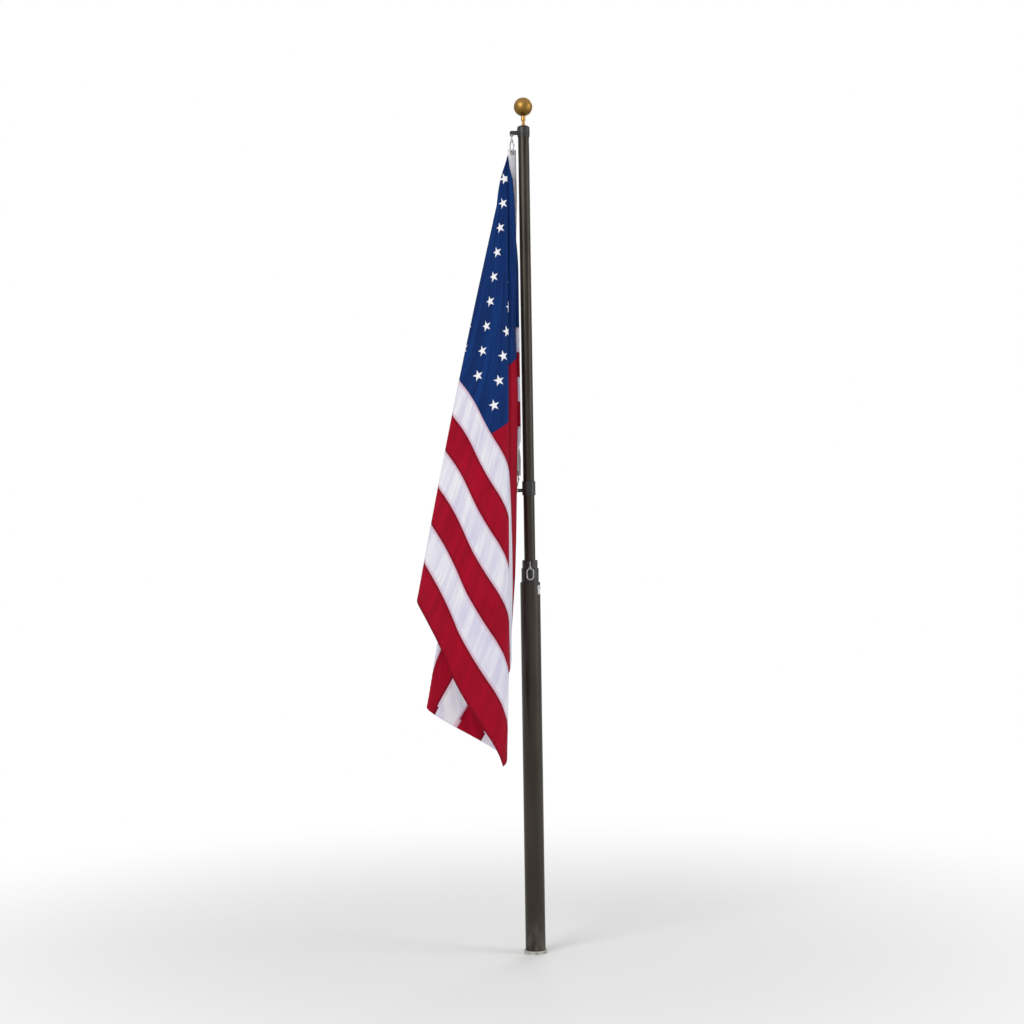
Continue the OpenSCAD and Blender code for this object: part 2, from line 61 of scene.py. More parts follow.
class Graph:
    """Adds nodes to one node tree and joins them."""

    def __init__(self, tree: bpy.types.NodeTree) -> None:
        """Take the node tree that gets the nodes."""
        self.tree = tree

    def node(self, kind: str, inputs: dict | None = None, **settings: object) -> bpy.types.Node:
        """Add one node.

        Args:
            kind: the node's type name.
            inputs: socket name or number and the value or socket that feeds it.
            settings: the node's own options.

        Returns:
            The new node.
        """
        node = self.tree.nodes.new(kind)
        for name, value in settings.items():
            setattr(node, name, value)
        for name, value in (inputs or {}).items():
            self.feed(node.inputs[name], value)
        return node

    def feed(self, socket: bpy.types.NodeSocket, value: object) -> None:
        """Give a socket a constant, or the output of another node.

        Args:
            socket: the input socket.
            value: a number, a colour, a node or a node's output socket.
        """
        if isinstance(value, bpy.types.Node):
            value = value.outputs[0]
        if isinstance(value, bpy.types.NodeSocket):
            self.tree.links.new(value, socket)
        elif isinstance(value, tuple) and len(value) == 3 and socket.type == "RGBA":
            socket.default_value = (*value, 1.0)
        else:
            socket.default_value = value

    def math(self, operation: str, first: object, second: object = 0.0) -> bpy.types.NodeSocket:
        """Join two numbers by a Math node's operation."""
        return self.node("ShaderNodeMath", {0: first, 1: second}, operation=operation).outputs[0]

    def plus(self, first: object, second: object) -> bpy.types.NodeSocket:
        """Add two numbers."""
        return self.math("ADD", first, second)

    def times(self, first: object, second: object) -> bpy.types.NodeSocket:
        """Multiply two numbers."""
        return self.math("MULTIPLY", first, second)

    def span(self, value: object, low: float, high: float) -> bpy.types.NodeSocket:
        """Carry a value smoothly from low and high to 0 and 1."""
        inputs = {"Value": value, "From Min": low, "From Max": high}
        return self.node("ShaderNodeMapRange", inputs, interpolation_type="SMOOTHSTEP").outputs[0]

    def mix(self, share: object, first: object, second: object) -> bpy.types.NodeSocket:
        """Blend two colours by the share of the second."""
        return self.node("ShaderNodeMix", {0: share, 6: first, 7: second}, data_type="RGBA").outputs[2]

    def noise(self, vector: object, scale: object, detail: float) -> bpy.types.NodeSocket:
        """Cloudy noise at a place: cells to the metre, and octaves."""
        inputs = {"Vector": vector, "Scale": scale, "Detail": detail}
        return self.node("ShaderNodeTexNoise", inputs).outputs["Fac"]

    def stretched(self, vector: object, scale: Triple) -> bpy.types.NodeSocket:
        """Stretch a place before a pattern reads it."""
        return self.node("ShaderNodeMapping", {"Vector": vector, "Scale": scale}).outputs[0]

    def axes(self, vector: object) -> bpy.types.NodeOutputs:
        """Split a place into X, Y and Z."""
        return self.node("ShaderNodeSeparateXYZ", {0: vector}).outputs

    def reach(self, vector: object) -> bpy.types.NodeSocket:
        """How far a place is from the origin."""
        return self.node("ShaderNodeVectorMath", {0: vector}, operation="LENGTH").outputs["Value"]

    def ripple(self, distance: object, pitch: float) -> bpy.types.NodeSocket:
        """A sine wave with its pitch in the unit of the distance."""
        return self.math("SINE", self.times(distance, 2 * pi / pitch))

    def weave(self, part: bpy.types.NodeOutputs, pitch: float) -> bpy.types.NodeSocket:
        """Crossing threads along X and Y."""
        return self.times(self.ripple(part["X"], pitch), self.ripple(part["Y"], pitch))

    def shade(self, shader: bpy.types.Node, color: object, roughness: object) -> None:
        """Feed a shader its colour and its roughness."""
        self.feed(shader.inputs["Base Color"], color)
        self.feed(shader.inputs["Roughness"], roughness)


class Effect(Enum):
    """A shader node group that several finishes share, named by what it gives."""

    GRAIN = "drawn_grain"
    MOTTLE = "soft_mottle"
    SOIL = "soil_splash"
    STITCH = "stitch_row"
    DRAPE = "drape_streaks"

    def group(self) -> bpy.types.NodeTree:
        """Build the group once.

        Returns:
            The group's node tree.
        """
        known = bpy.data.node_groups.get(self.value)
        if known:
            return known
        tree = bpy.data.node_groups.new(self.value, "ShaderNodeTree")
        for name, kind, value in EFFECT_INPUTS[self.name]:
            socket = tree.interface.new_socket(name=name, in_out="INPUT", socket_type=kind)
            if value is not None:
                socket.default_value = value
        tree.interface.new_socket(name="Mask", in_out="OUTPUT", socket_type="NodeSocketFloat")
        graph = Graph(tree)
        given = graph.node("NodeGroupInput").outputs
        mask = getattr(self, "_" + self.name.lower())(graph, given)
        graph.node("NodeGroupOutput", {"Mask": mask})
        return tree

    def _grain(self, graph: Graph, given: bpy.types.NodeOutputs) -> bpy.types.NodeSocket:
        """Fine lines along Z, as drawn tube has."""
        long = graph.stretched(given["Vector"], (1.0, 1.0, 0.012))
        return graph.span(graph.noise(long, given["Scale"], 2.0), 0.3, 0.7)

    def _mottle(self, graph: Graph, given: bpy.types.NodeOutputs) -> bpy.types.NodeSocket:
        """Cloudy patches with finer ones inside them."""
        return graph.span(graph.noise(given["Vector"], given["Scale"], 5.0), 0.35, 0.68)

    def _soil(self, graph: Graph, given: bpy.types.NodeOutputs) -> bpy.types.NodeSocket:
        """Dust and splashes that thin out with height.

        Args:
            graph: the group's graph.
            given: the group's inputs.

        Returns:
            The mask.
        """
        height = graph.axes(given["Vector"])["Z"]
        ragged = graph.noise(graph.stretched(given["Vector"], (1.0, 1.0, 0.35)), 60.0, 6.0)
        low = graph.math("SUBTRACT", 1.0, graph.math("DIVIDE", height, given["Height"]))
        return graph.times(graph.span(low, 0.0, 1.0), graph.span(ragged, 0.38, 0.66))

    def _stitch(self, graph: Graph, given: bpy.types.NodeOutputs) -> bpy.types.NodeSocket:
        """Thread dashes on a line: Along and Across are metres from its start and from it.

        Args:
            graph: the group's graph.
            given: the group's inputs.

        Returns:
            The mask.
        """
        phase = graph.math("FRACT", graph.math("DIVIDE", given["Along"], given["Pitch"]))
        dash = graph.math("LESS_THAN", phase, 0.72)
        near = graph.math("ABSOLUTE", given["Across"])
        return graph.times(dash, graph.span(near, 0.0006, 0.0002))

    def _drape(self, graph: Graph, given: bpy.types.NodeOutputs) -> bpy.types.NodeSocket:
        """Small wrinkles that fan out from a sheet's hung corner and slant further down.

        Args:
            graph: the group's graph.
            given: the group's inputs.

        Returns:
            The mask.
        """
        part = graph.axes(given["Vector"])
        reach = graph.reach(given["Vector"])
        angle = graph.math("ARCTAN2", part["Y"], part["X"])
        low = graph.math("MAXIMUM", graph.math("SUBTRACT", reach, 0.6), 0.0)
        turned = graph.plus(angle, graph.times(low, given["Slant"]))
        fan = graph.node("ShaderNodeCombineXYZ", {0: turned, 1: graph.times(reach, 0.06)}).outputs[0]
        broad = graph.times(graph.noise(fan, 42.0, 1.0), 0.6)
        fine = graph.times(graph.noise(fan, 120.0, 1.0), 0.4)
        return graph.span(graph.plus(broad, fine), 0.32, 0.68)


VECTOR = ("Vector", "NodeSocketVector", None)
EFFECT_INPUTS = {
    "GRAIN": [VECTOR, ("Scale", "NodeSocketFloat", 900.0)],
    "MOTTLE": [VECTOR, ("Scale", "NodeSocketFloat", 12.0)],
    "SOIL": [VECTOR, ("Height", "NodeSocketFloat", 0.2)],
    "STITCH": [
        ("Along", "NodeSocketFloat", 0.0),
        ("Across", "NodeSocketFloat", 0.0),
        ("Pitch", "NodeSocketFloat", 0.003),
    ],
    "DRAPE": [VECTOR, ("Slant", "NodeSocketFloat", -0.14)],
}


@dataclass(frozen=True)
class Finish:
    """A surface of this pole, made as one material."""

    name: str
    color: Color
    second: Color
    roughness: float
    metallic: float = 0.0

    def material(self) -> bpy.types.Material:
        """Build the material once.

        Returns:
            The material.
        """
        known = bpy.data.materials.get(self.name)
        if known:
            return known
        material = bpy.data.materials.new(self.name)
        material.use_nodes = True
        material.node_tree.nodes.clear()
        material.diffuse_color = (*self.color, 1.0)
        graph = Graph(material.node_tree)
        shader = graph.node("ShaderNodeBsdfPrincipled", {"Metallic": self.metallic})
        graph.node("ShaderNodeOutputMaterial", {"Surface": shader})
        self.paint(graph, shader)
        return material

    def effect(self, graph: Graph, effect: Effect, **inputs: object) -> bpy.types.NodeSocket:
        """Place a shared effect.

        Args:
            graph: the material's graph.
            effect: the effect's group.
            inputs: what feeds the group, by socket name.

        Returns:
            The effect's mask.
        """
        named = {name.title(): value for name, value in inputs.items()}
        node = graph.tree.nodes.new("ShaderNodeGroup")
        node.node_tree = effect.group()
        for name, value in named.items():
            graph.feed(node.inputs[name], value)
        return node.outputs["Mask"]

    def bump(
        self, graph: Graph, shader: bpy.types.Node, height: object, depth: float, strength: float = 1.0,
        under: bpy.types.NodeSocket | None = None,
    ) -> None:
        """Raise the surface by a height map.

        Args:
            graph: the material's graph.
            shader: the node whose normal it turns.
            height: the height map, from 0 to 1.
            depth: what 1 stands for, in metres.
            strength: how much of it shows.
            under: the normal of a coarser map below it.
        """
        inputs = {"Height": height, "Distance": depth, "Strength": strength}
        if under:
            inputs["Normal"] = under
        graph.feed(shader.inputs["Normal"], graph.node("ShaderNodeBump", inputs))

    def sewn(self, graph: Graph, rows: list[tuple[object, object]], pitch: float) -> bpy.types.NodeSocket:
        """Sew rows of stitches.

        Args:
            graph: the material's graph.
            rows: the distances along each row and off it.
            pitch: from one stitch to the next, in metres.

        Returns:
            The thread's mask.
        """
        thread: object = 0.0
        for along, across in rows:
            row = self.effect(graph, Effect.STITCH, along=along, across=across, pitch=pitch)
            thread = graph.math("MAXIMUM", thread, row)
        return thread

    def place(self, graph: Graph) -> bpy.types.NodeSocket:
        """The object's own coordinates."""
        return graph.node("ShaderNodeTexCoord").outputs["Object"]

    def paint(self, graph: Graph, shader: bpy.types.Node) -> None:
        """Feed the shader: colour, roughness and bump."""
        raise NotImplementedError


@dataclass(frozen=True)
class AnodisedTube(Finish):
    """Dark bronze anodised tube: drawn lines, faint haze, splashes near the ground."""

    soil: Color = (0.16, 0.14, 0.11)
    soil_height: float = 0.14
    soil_share: float = 0.35

    def paint(self, graph: Graph, shader: bpy.types.Node) -> None:
        """Feed the shader: colour, roughness and bump.

        Args:
            graph: the material's graph.
            shader: the material's shader.
        """
        at = self.place(graph)
        grain = self.effect(graph, Effect.GRAIN, vector=at, scale=420.0)
        haze = self.effect(graph, Effect.MOTTLE, vector=graph.stretched(at, (1.0, 1.0, 0.25)), scale=22.0)
        soil = self.effect(graph, Effect.SOIL, vector=at, height=self.soil_height)
        clean = graph.mix(graph.times(haze, 0.55), self.color, self.second)
        lined = graph.mix(graph.times(grain, 0.22), clean, self.second)
        soiled = graph.mix(graph.times(soil, self.soil_share), lined, self.soil)
        rough = graph.plus(graph.times(grain, 0.1), self.roughness)
        hazy = graph.plus(rough, graph.times(haze, 0.07))
        graph.shade(shader, soiled, graph.plus(hazy, graph.times(soil, 0.3)))
        graph.feed(shader.inputs["Metallic"], graph.math("SUBTRACT", self.metallic, graph.times(soil, 0.6)))
        self.bump(graph, shader, grain, 0.00003, 0.5)


@dataclass(frozen=True)
class MouldedPlastic(Finish):
    """Moulded plastic: a fine sand texture, faint flow marks, and dust or soil near the ground."""

    soil: Color = (0.16, 0.12, 0.08)
    soil_height: float = 0.012
    soil_share: float = 0.8

    def paint(self, graph: Graph, shader: bpy.types.Node) -> None:
        """Feed the shader: colour, roughness and bump.

        Args:
            graph: the material's graph.
            shader: the material's shader.
        """
        at = self.place(graph)
        flow = self.effect(graph, Effect.MOTTLE, vector=at, scale=55.0)
        soil = self.effect(graph, Effect.SOIL, vector=at, height=self.soil_height)
        clean = graph.mix(graph.times(flow, 0.6), self.color, self.second)
        soiled = graph.mix(graph.times(soil, self.soil_share), clean, self.soil)
        graph.shade(shader, soiled, graph.plus(self.roughness, graph.times(flow, 0.12)))
        self.bump(graph, shader, graph.noise(at, 1600.0, 2.0), 0.00008, 0.6)


@dataclass(frozen=True)
class BareMetal(Finish):
    """Steel, brass or gilt metal: tarnish in patches, fine handling marks and, if given, painted shade at the bottom.
    """

    tarnish: float = 0.4
    marks: float = 0.05
    # Heights in metres over which painted shade turns the metal to its second colour lower down.
    underside: Pair | None = None

    def paint(self, graph: Graph, shader: bpy.types.Node) -> None:
        """Feed the shader: colour, roughness and bump.

        Args:
            graph: the material's graph.
            shader: the material's shader.
        """
        at = self.place(graph)
        patches = self.effect(graph, Effect.MOTTLE, vector=at, scale=90.0)
        fine = graph.noise(graph.stretched(at, (1.0, 1.0, 6.0)), 700.0, 4.0)
        shade = graph.times(patches, self.tarnish)
        # Painted shade: the metal turns to its second colour towards the bottom.
        if self.underside:
            low = graph.span(graph.axes(at)["Z"], *self.underside)
            shade = graph.math("MAXIMUM", shade, low)
        worn = graph.plus(self.roughness, graph.times(patches, 0.12))
        rough = graph.plus(worn, graph.times(fine, self.marks))
        graph.shade(shader, graph.mix(shade, self.color, self.second), rough)
        self.bump(graph, shader, fine, 0.00004, 0.35)


@dataclass(frozen=True)
class FlagNylon(Finish):
    """Woven flag nylon: threads, soft sheen, two rows of stitching along each stripe's seam, fading, and painted
    shade and highlight streaks along the folds.
    """

    seam: Color = (0.5, 0.3, 0.4)
    seam_share: float = 0.5
    # How much painted shade and highlight the fold streaks give the colour.
    drape_share: float = 0.6
    stripe: float = 916.0 / 13.0 * MM
    fly: float = 1470.0 * MM
    seam_fold: Pair = (0.0085, 0.0035)
    seam_rows: Pair = (0.0015, 0.0075)
    hem_rows: Pair = (0.003, 0.021)
    stitch: float = 0.0028
    yarn: float = 0.0007

    def paint(self, graph: Graph, shader: bpy.types.Node) -> None:
        """Feed the shader: colour, roughness and bump.

        Args:
            graph: the material's graph.
            shader: the material's shader.
        """
        flat = graph.node("ShaderNodeUVMap", uv_map="flat").outputs[0]
        sized = graph.node("ShaderNodeVectorMath", {0: flat, "Scale": CLOTH_UV}, operation="SCALE").outputs[0]
        part = graph.axes(sized)
        row = graph.math("FRACT", graph.math("DIVIDE", part["Y"], self.stripe))
        centred = graph.math("ABSOLUTE", graph.math("SUBTRACT", row, 0.5))
        off = graph.times(graph.math("SUBTRACT", 0.5, centred), self.stripe)
        fold = graph.span(off, *self.seam_fold)
        fade = self.effect(graph, Effect.MOTTLE, vector=sized, scale=9.0)
        drape = self.effect(graph, Effect.DRAPE, vector=sized)
        # Fading in patches, plus painted shade and highlight streaks along the folds.
        shade = graph.plus(graph.times(fade, 0.2), graph.times(drape, self.drape_share))
        body = graph.mix(shade, self.color, self.second)
        seamed = graph.mix(graph.times(fold, self.seam_share), body, self.seam)
        rows = [(part["X"], graph.math("SUBTRACT", off, inset)) for inset in self.seam_rows]
        rows += [(part["Y"], graph.math("SUBTRACT", self.fly - inset, part["X"])) for inset in self.hem_rows]
        thread = self.sewn(graph, rows, self.stitch)
        sewn = graph.mix(graph.times(thread, 0.35), seamed, self.second)
        graph.shade(shader, sewn, graph.plus(self.roughness, graph.times(fade, 0.08)))
        shader.inputs["Specular IOR Level"].default_value = 0.1
        shader.inputs["Sheen Weight"].default_value = 0.02
        shader.inputs["Sheen Roughness"].default_value = 0.4
        folds = graph.node("ShaderNodeBump", {"Height": drape, "Distance": 0.0016, "Strength": 0.8}).outputs[0]
        weave = graph.times(graph.weave(part, self.yarn), 0.25)
        raised = graph.plus(graph.times(fold, 2.0), weave)
        threads = graph.math("SUBTRACT", raised, graph.times(thread, 0.8))
        self.bump(graph, shader, threads, 0.00035, 0.8, folds)


@dataclass(frozen=True)
class StarThread(Finish):
    """Raised satin stitch of the stars."""

    yarn: float = 0.0009

    def paint(self, graph: Graph, shader: bpy.types.Node) -> None:
        """Feed the shader: colour, roughness and bump.

        Args:
            graph: the material's graph.
            shader: the material's shader.
        """
        flat = graph.node("ShaderNodeUVMap", uv_map="flat").outputs[0]
        lines = graph.ripple(graph.axes(flat)["X"], self.yarn / CLOTH_UV)
        graph.shade(shader, graph.mix(graph.span(lines, -1.0, 0.2), self.second, self.color), self.roughness)
        self.bump(graph, shader, lines, 0.0001, 0.5)


@dataclass(frozen=True)
class DuckCanvas(Finish):
    """White duck canvas of the heading: coarse weave, a stitch row along each edge and a sewn box at each end."""

    width: float = 26.0 * MM
    length: float = 932.0 * MM
    side_rows: Pair = (0.0025, 0.007)
    end_rows: Pair = (0.004, 0.026)
    stitch: float = 0.0032
    yarn: float = 0.0014
    thread: Color = (0.55, 0.54, 0.55)

    def paint(self, graph: Graph, shader: bpy.types.Node) -> None:
        """Feed the shader: colour, roughness and bump.

        Args:
            graph: the material's graph.
            shader: the material's shader.
        """
        flat = graph.node("ShaderNodeUVMap", uv_map="flat").outputs[0]
        part = graph.axes(flat)
        side = graph.math("SUBTRACT", self.width / 2, graph.math("ABSOLUTE", part["X"]))
        rows = [(part["Y"], graph.math("SUBTRACT", side, inset)) for inset in self.side_rows]
        levels = [*self.end_rows, *(self.length - inset for inset in self.end_rows)]
        rows += [(part["X"], graph.math("SUBTRACT", part["Y"], level)) for level in levels]
        thread = self.sewn(graph, rows, self.stitch)
        stain = self.effect(graph, Effect.MOTTLE, vector=flat, scale=30.0)
        body = graph.mix(graph.times(stain, 0.6), self.color, self.second)
        graph.shade(shader, graph.mix(graph.times(thread, 0.5), body, self.thread), self.roughness)
        raised = graph.math("SUBTRACT", graph.weave(part, self.yarn), graph.times(thread, 2.0))
        self.bump(graph, shader, raised, 0.0002, 0.6)


@dataclass(frozen=True)
class BareLabel(Finish):
    """A blank foil label, rubbed in patches."""

    def paint(self, graph: Graph, shader: bpy.types.Node) -> None:
        """Feed the shader: colour, roughness and bump.

        Args:
            graph: the material's graph.
            shader: the material's shader.
        """
        at = self.place(graph)
        rub = self.effect(graph, Effect.MOTTLE, vector=at, scale=160.0)
        rough = graph.plus(self.roughness, graph.times(rub, 0.2))
        graph.shade(shader, graph.mix(rub, self.color, self.second), rough)
        self.bump(graph, shader, rub, 0.0001, 0.5)


@dataclass(frozen=True)
class StudioFloor(Finish):
    """Pale floor that turns to plain white away from the object."""

    near: float = 0.5
    far: float = 2.6

    def paint(self, graph: Graph, shader: bpy.types.Node) -> None:
        """Feed the shader, and fade it to white by distance for camera and glossy rays.

        Args:
            graph: the material's graph.
            shader: the material's shader.
        """
        graph.shade(shader, self.color, self.roughness)
        shader.inputs["Specular IOR Level"].default_value = 0.1
        fade = graph.span(graph.reach(self.place(graph)), self.near, self.far)
        path = graph.node("ShaderNodeLightPath").outputs
        seen = graph.math("MAXIMUM", path["Is Camera Ray"], path["Is Glossy Ray"])
        white = graph.node("ShaderNodeEmission", {"Color": (1.0, 1.0, 1.0), "Strength": 1.0})
        blend = graph.node("ShaderNodeMixShader", {0: graph.times(fade, seen), 1: shader, 2: white})
        out = next(node for node in graph.tree.nodes if node.type == "OUTPUT_MATERIAL")
        graph.feed(out.inputs["Surface"], blend)


BRONZE = AnodisedTube("bronze_anodised_tube", (0.044, 0.037, 0.03), (0.077, 0.065, 0.054), 0.32, 0.9)
TRIM = MouldedPlastic("charcoal_moulding", (0.021, 0.019, 0.019), (0.038, 0.034, 0.033), 0.36)
SLEEVE = MouldedPlastic(
    "pale_sleeve_moulding", (0.5, 0.49, 0.46), (0.4, 0.38, 0.34), 0.55, 0.0, (0.13, 0.1, 0.07), 0.014, 0.45
)
STEEL = BareMetal("bright_cast_steel", (0.52, 0.52, 0.55), (0.3, 0.28, 0.27), 0.22, 1.0)
BRASS = BareMetal("satin_brass", (0.46, 0.27, 0.09), (0.26, 0.15, 0.06), 0.28, 1.0)
EYELET = BareMetal("dull_brass_eyelet", (0.3, 0.23, 0.14), (0.14, 0.1, 0.07), 0.34, 1.0, 0.8)
# Gilt ball: painted shade makes its lower half darker.
GOLD = BareMetal("polished_gilt", (0.62, 0.36, 0.1), (0.15, 0.075, 0.014), 0.34, 1.0, 0.25, 0.03, (2.438, 2.396))
SATIN = BareMetal("satin_steel_button", (0.72, 0.73, 0.75), (0.5, 0.5, 0.51), 0.4, 1.0, 0.3)
# The second colour of each nylon is painted on the fold streaks: painted highlight on the navy, painted shade on the
# red and the white.
NAVY = FlagNylon("navy_nylon", (0.0015, 0.016, 0.095), (0.003, 0.04, 0.2), 0.55, 0.0, (0.0015, 0.015, 0.08), 0.0, 0.8)
RED = FlagNylon("red_nylon", (0.41, 0.0, 0.02), (0.25, 0.0, 0.012), 0.55, 0.0, (0.2, 0.0, 0.012), 0.6, 0.55)
WHITE = FlagNylon("white_nylon", (0.88, 0.88, 0.92), (0.62, 0.58, 0.79), 0.55, 0.0, (0.74, 0.46, 0.58), 0.75, 0.65)
STAR = StarThread("star_stitching", (0.95, 0.95, 0.96), (0.84, 0.84, 0.9), 0.5)
CANVAS = DuckCanvas("duck_canvas", (0.92, 0.91, 0.97), (0.82, 0.8, 0.9), 0.8)
LABEL = BareLabel("bare_foil_label", (0.78, 0.8, 0.82), (0.62, 0.63, 0.65), 0.45)
FLOOR = StudioFloor("studio_floor", (0.86, 0.86, 0.86), (0.86, 0.86, 0.86), 0.9)


class Slot(Enum):
    """The record's material slots and the finish that each gets."""

    pale_sleeve = SLEEVE
    charcoal_trim = TRIM
    bronze_tube = BRONZE
    bright_steel = STEEL
    brass_fitting = BRASS
    gold_ball = GOLD
    canvas_heading = CANVAS
    flag_navy = NAVY
    flag_red = RED
    flag_white = WHITE


class Body(Enum):
    """The bodies that the added pieces ride on."""

    POLE_BASE = "pole_base"
    SPARE_HOOK = "spare_hook"
    HARNESS = "harness"


def settle(
    name: str, bm: bmesh.types.BMesh, finish: Finish, body: Body, smooth: float = 40.0
) -> bpy.types.Object:
    """Make a finished object of a bmesh and hang it on its body.

    Args:
        name: the piece's name.
        bm: its mesh, in place and in metres; it is freed.
        finish: its surface.
        body: the body that it rides on.
        smooth: the sharpest angle that is shaded smooth, in degrees.

    Returns:
        The new object.
    """
    mesh = bpy.data.meshes.new(name)
    for face in bm.faces:
        face.smooth = True
    for edge in bm.edges:
        if len(edge.link_faces) == 2 and edge.calc_face_angle(0.0) > radians(smooth):
            edge.smooth = False
    bm.to_mesh(mesh)
    bm.free()
    piece = bpy.data.objects.new(name, mesh)
    bpy.context.scene.collection.objects.link(piece)
    mesh.materials.append(finish.material())
    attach(piece, body.value)
    LOG.info("%s: %d faces", name, len(mesh.polygons))
    return piece


@dataclass
class Fittings:
    """The carried-over solids of the frame, each with the finish of its slot."""

    finishes: dict[str, Finish] = field(default_factory=dict)

    def dress(self) -> None:
        """Give each solid its material."""
        for part in frame["record"]["subparts"]:
            node = frame["nodes"][part["node"]]
            finish = self.finishes.get(part["node"], Slot[part["material_slot"]].value)
            node.data.materials.clear()
            node.data.materials.append(finish.material())
            LOG.info("%s: %s", part["node"], finish.name)


def ramp(value: np.ndarray | float, start: float, end: float) -> np.ndarray:
    """Ease from 0 at start to 1 at end."""
    share = np.clip((value - start) / (end - start), 0.0, 1.0)
    return share * share * (3.0 - 2.0 * share)


@dataclass
class FoldedCloth:
    """Where each point of the flat flag hangs. Lengths are in millimetres, from the top end of the heading's seam.

    A point of the flat flag is given by its distance from that corner and its angle from the top edge. Each angle has
    a direction that it hangs in, so folds run straight from the corner, and small pushes bend them as cloth does.
    Rays hold an angle and its leans, sideways and forward, in degrees. Drift and tuck hold, for an angle, the degrees
    by which it moves along the folds and sideways for each metre further out. Early turns the left crease sooner near
    the corner. The top tables hold the top edge's pushes by distance. Gather over the distance is the angle that the
    folds are softened by, up to the last of the widths.
    """

    apex: Triple = (-45.26, -6.5, 2281.0)
    fly: float = 1470.0
    hoist: float = 916.0
    canton: float = 640.0
    rays: tuple[Triple, ...] = (
        (0.0, 0.0, -0.7), (3.1, -0.5, -2.6), (4.2, -0.75, -3.5), (5.0, -1.0, -4.0), (5.8, -2.3, -4.0),
        (6.4, -3.0, -3.4), (11.8, -6.6, -1.3), (12.8, -6.8, -2.2), (17.0, -2.8, -3.3), (21.9, -8.4, -3.1),
        (23.4, -9.4, -4.4), (31.1, -1.2, -4.6), (33.3, -0.3, -6.7), (37.9, -5.3, -8.3), (42.8, -9.2, -7.9),
        (45.7, -12.3, -6.6), (46.3, -12.95, -6.1), (47.2, -12.8, -5.2), (52.2, -11.7, -0.4), (58.2, -10.4, 5.2),
        (67.8, -1.0, 4.4), (69.4, -0.7, 2.8), (77.8, -9.5, 2.9), (79.6, -10.3, 1.2), (83.9, -6.0, 1.1),
        (90.0, 0.0, 0.0),
    )
    drift: Table = (
        (0.0, 0.0), (3.5, -6.0), (6.0, -6.0), (14.0, 0.8), (33.0, 2.3), (42.0, 4.9), (50.0, 5.0), (70.0, 1.5),
        (90.0, 0.0),
    )
    tuck: Table = ((0.0, 0.0), (38.0, 0.0), (45.0, 1.15), (54.0, 1.15), (60.0, 0.0), (90.0, 0.0))
    tuck_middle: float = 0.66
    early: float = 1.5
    early_reach: Pair = (640.0, 550.0)
    early_angles: tuple[Pair, Pair] = ((43.0, 48.0), (62.0, 56.0))
    top_push: Table = (
        (0.0, 0.0), (40.0, 4.0), (80.0, 12.5), (140.0, 16.5), (225.0, 19.0), (310.0, 20.0), (395.0, 19.0),
        (480.0, 16.5), (560.0, 14.0), (640.0, 15.5), (740.0, 18.0), (860.0, 14.5), (958.0, 12.4), (1158.0, 6.6),
        (1258.0, 2.3), (1330.0, -3.1), (1401.0, -8.5), (1475.0, -12.4), (1800.0, -12.4),
    )
    top_slack: Table = ((0.0, 0.0), (300.0, 22.0), (627.0, 57.0), (1800.0, 57.0))
    top_front: float = 0.4
    top_angles: Pair = (8.0, 0.0)
    seam_angles: Pair = (82.0, 90.0)
    seam_in: float = 24.76
    seam_front: float = 4.0
    seam_turn: float = 76.0
    seam_leaves: Pair = (10.0, 340.0)
    seam_returns: Pair = (12.0, 112.0)
    tail: float = 9.0
    tail_start: float = 1250.0
    tail_reach: float = 500.0
    gather: float = 450.0
    bunch: float = 6.0
    bunch_end: float = 150.0
    bunch_lean: float = 13.0
    widths: tuple[float, ...] = (0.0, 1.0, 2.0, 4.0, 8.0, 16.0)
    step: float = 0.1

    def __post_init__(self) -> None:
        """Round the folds, and keep a softer copy of them for each width of gather."""
        rounded = np.array(self.rays)
        for _ in range(2):
            low = 0.75 * rounded[:-1] + 0.25 * rounded[1:]
            high = 0.25 * rounded[:-1] + 0.75 * rounded[1:]
            cut = np.stack([low, high], 1).reshape(-1, 3)
            rounded = np.vstack([rounded[:1], cut[1:-1], rounded[-1:]])
        self.angles = np.arange(0.0, 90.0 + self.step / 2, self.step)
        lean = np.stack([np.interp(self.angles, rounded[:, 0], rounded[:, k]) for k in (1, 2)], 1)
        self.leans = np.stack([self._softened(lean, width) for width in self.widths])

    def _softened(self, lean: np.ndarray, width: float) -> np.ndarray:
        """Average the folds over an angle.

        Args:
            lean: sideways and forward lean at each angle.
            width: the angle, in degrees.

        Returns:
            The softened leans.
        """
        reach = int(round(width / self.step))
        if not reach:
            return lean
        padded = np.pad(lean, ((reach, reach), (0, 0)), mode="reflect", reflect_type="odd")
        window = np.hanning(2 * reach + 1)
        window /= window.sum()
        return np.stack([np.convolve(padded[:, k], window, "valid") for k in (0, 1)], 1)

    def _fold_place(self, r: np.ndarray, t: np.ndarray) -> np.ndarray:
        """Where on the folds each angle hangs, which changes with the distance.

        Args:
            r: distances from the corner, in millimetres.
            t: angles from the top edge, in degrees.

        Returns:
            The angles at which the table of folds is read.
        """
        rise, fall = self.early_angles
        early = self.early * ramp(r, *self.early_reach) * ramp(t, *rise) * ramp(t, *fall)
        return t + (r / 1000.0 - 1.0) * np.interp(t, *np.array(self.drift).T) - early

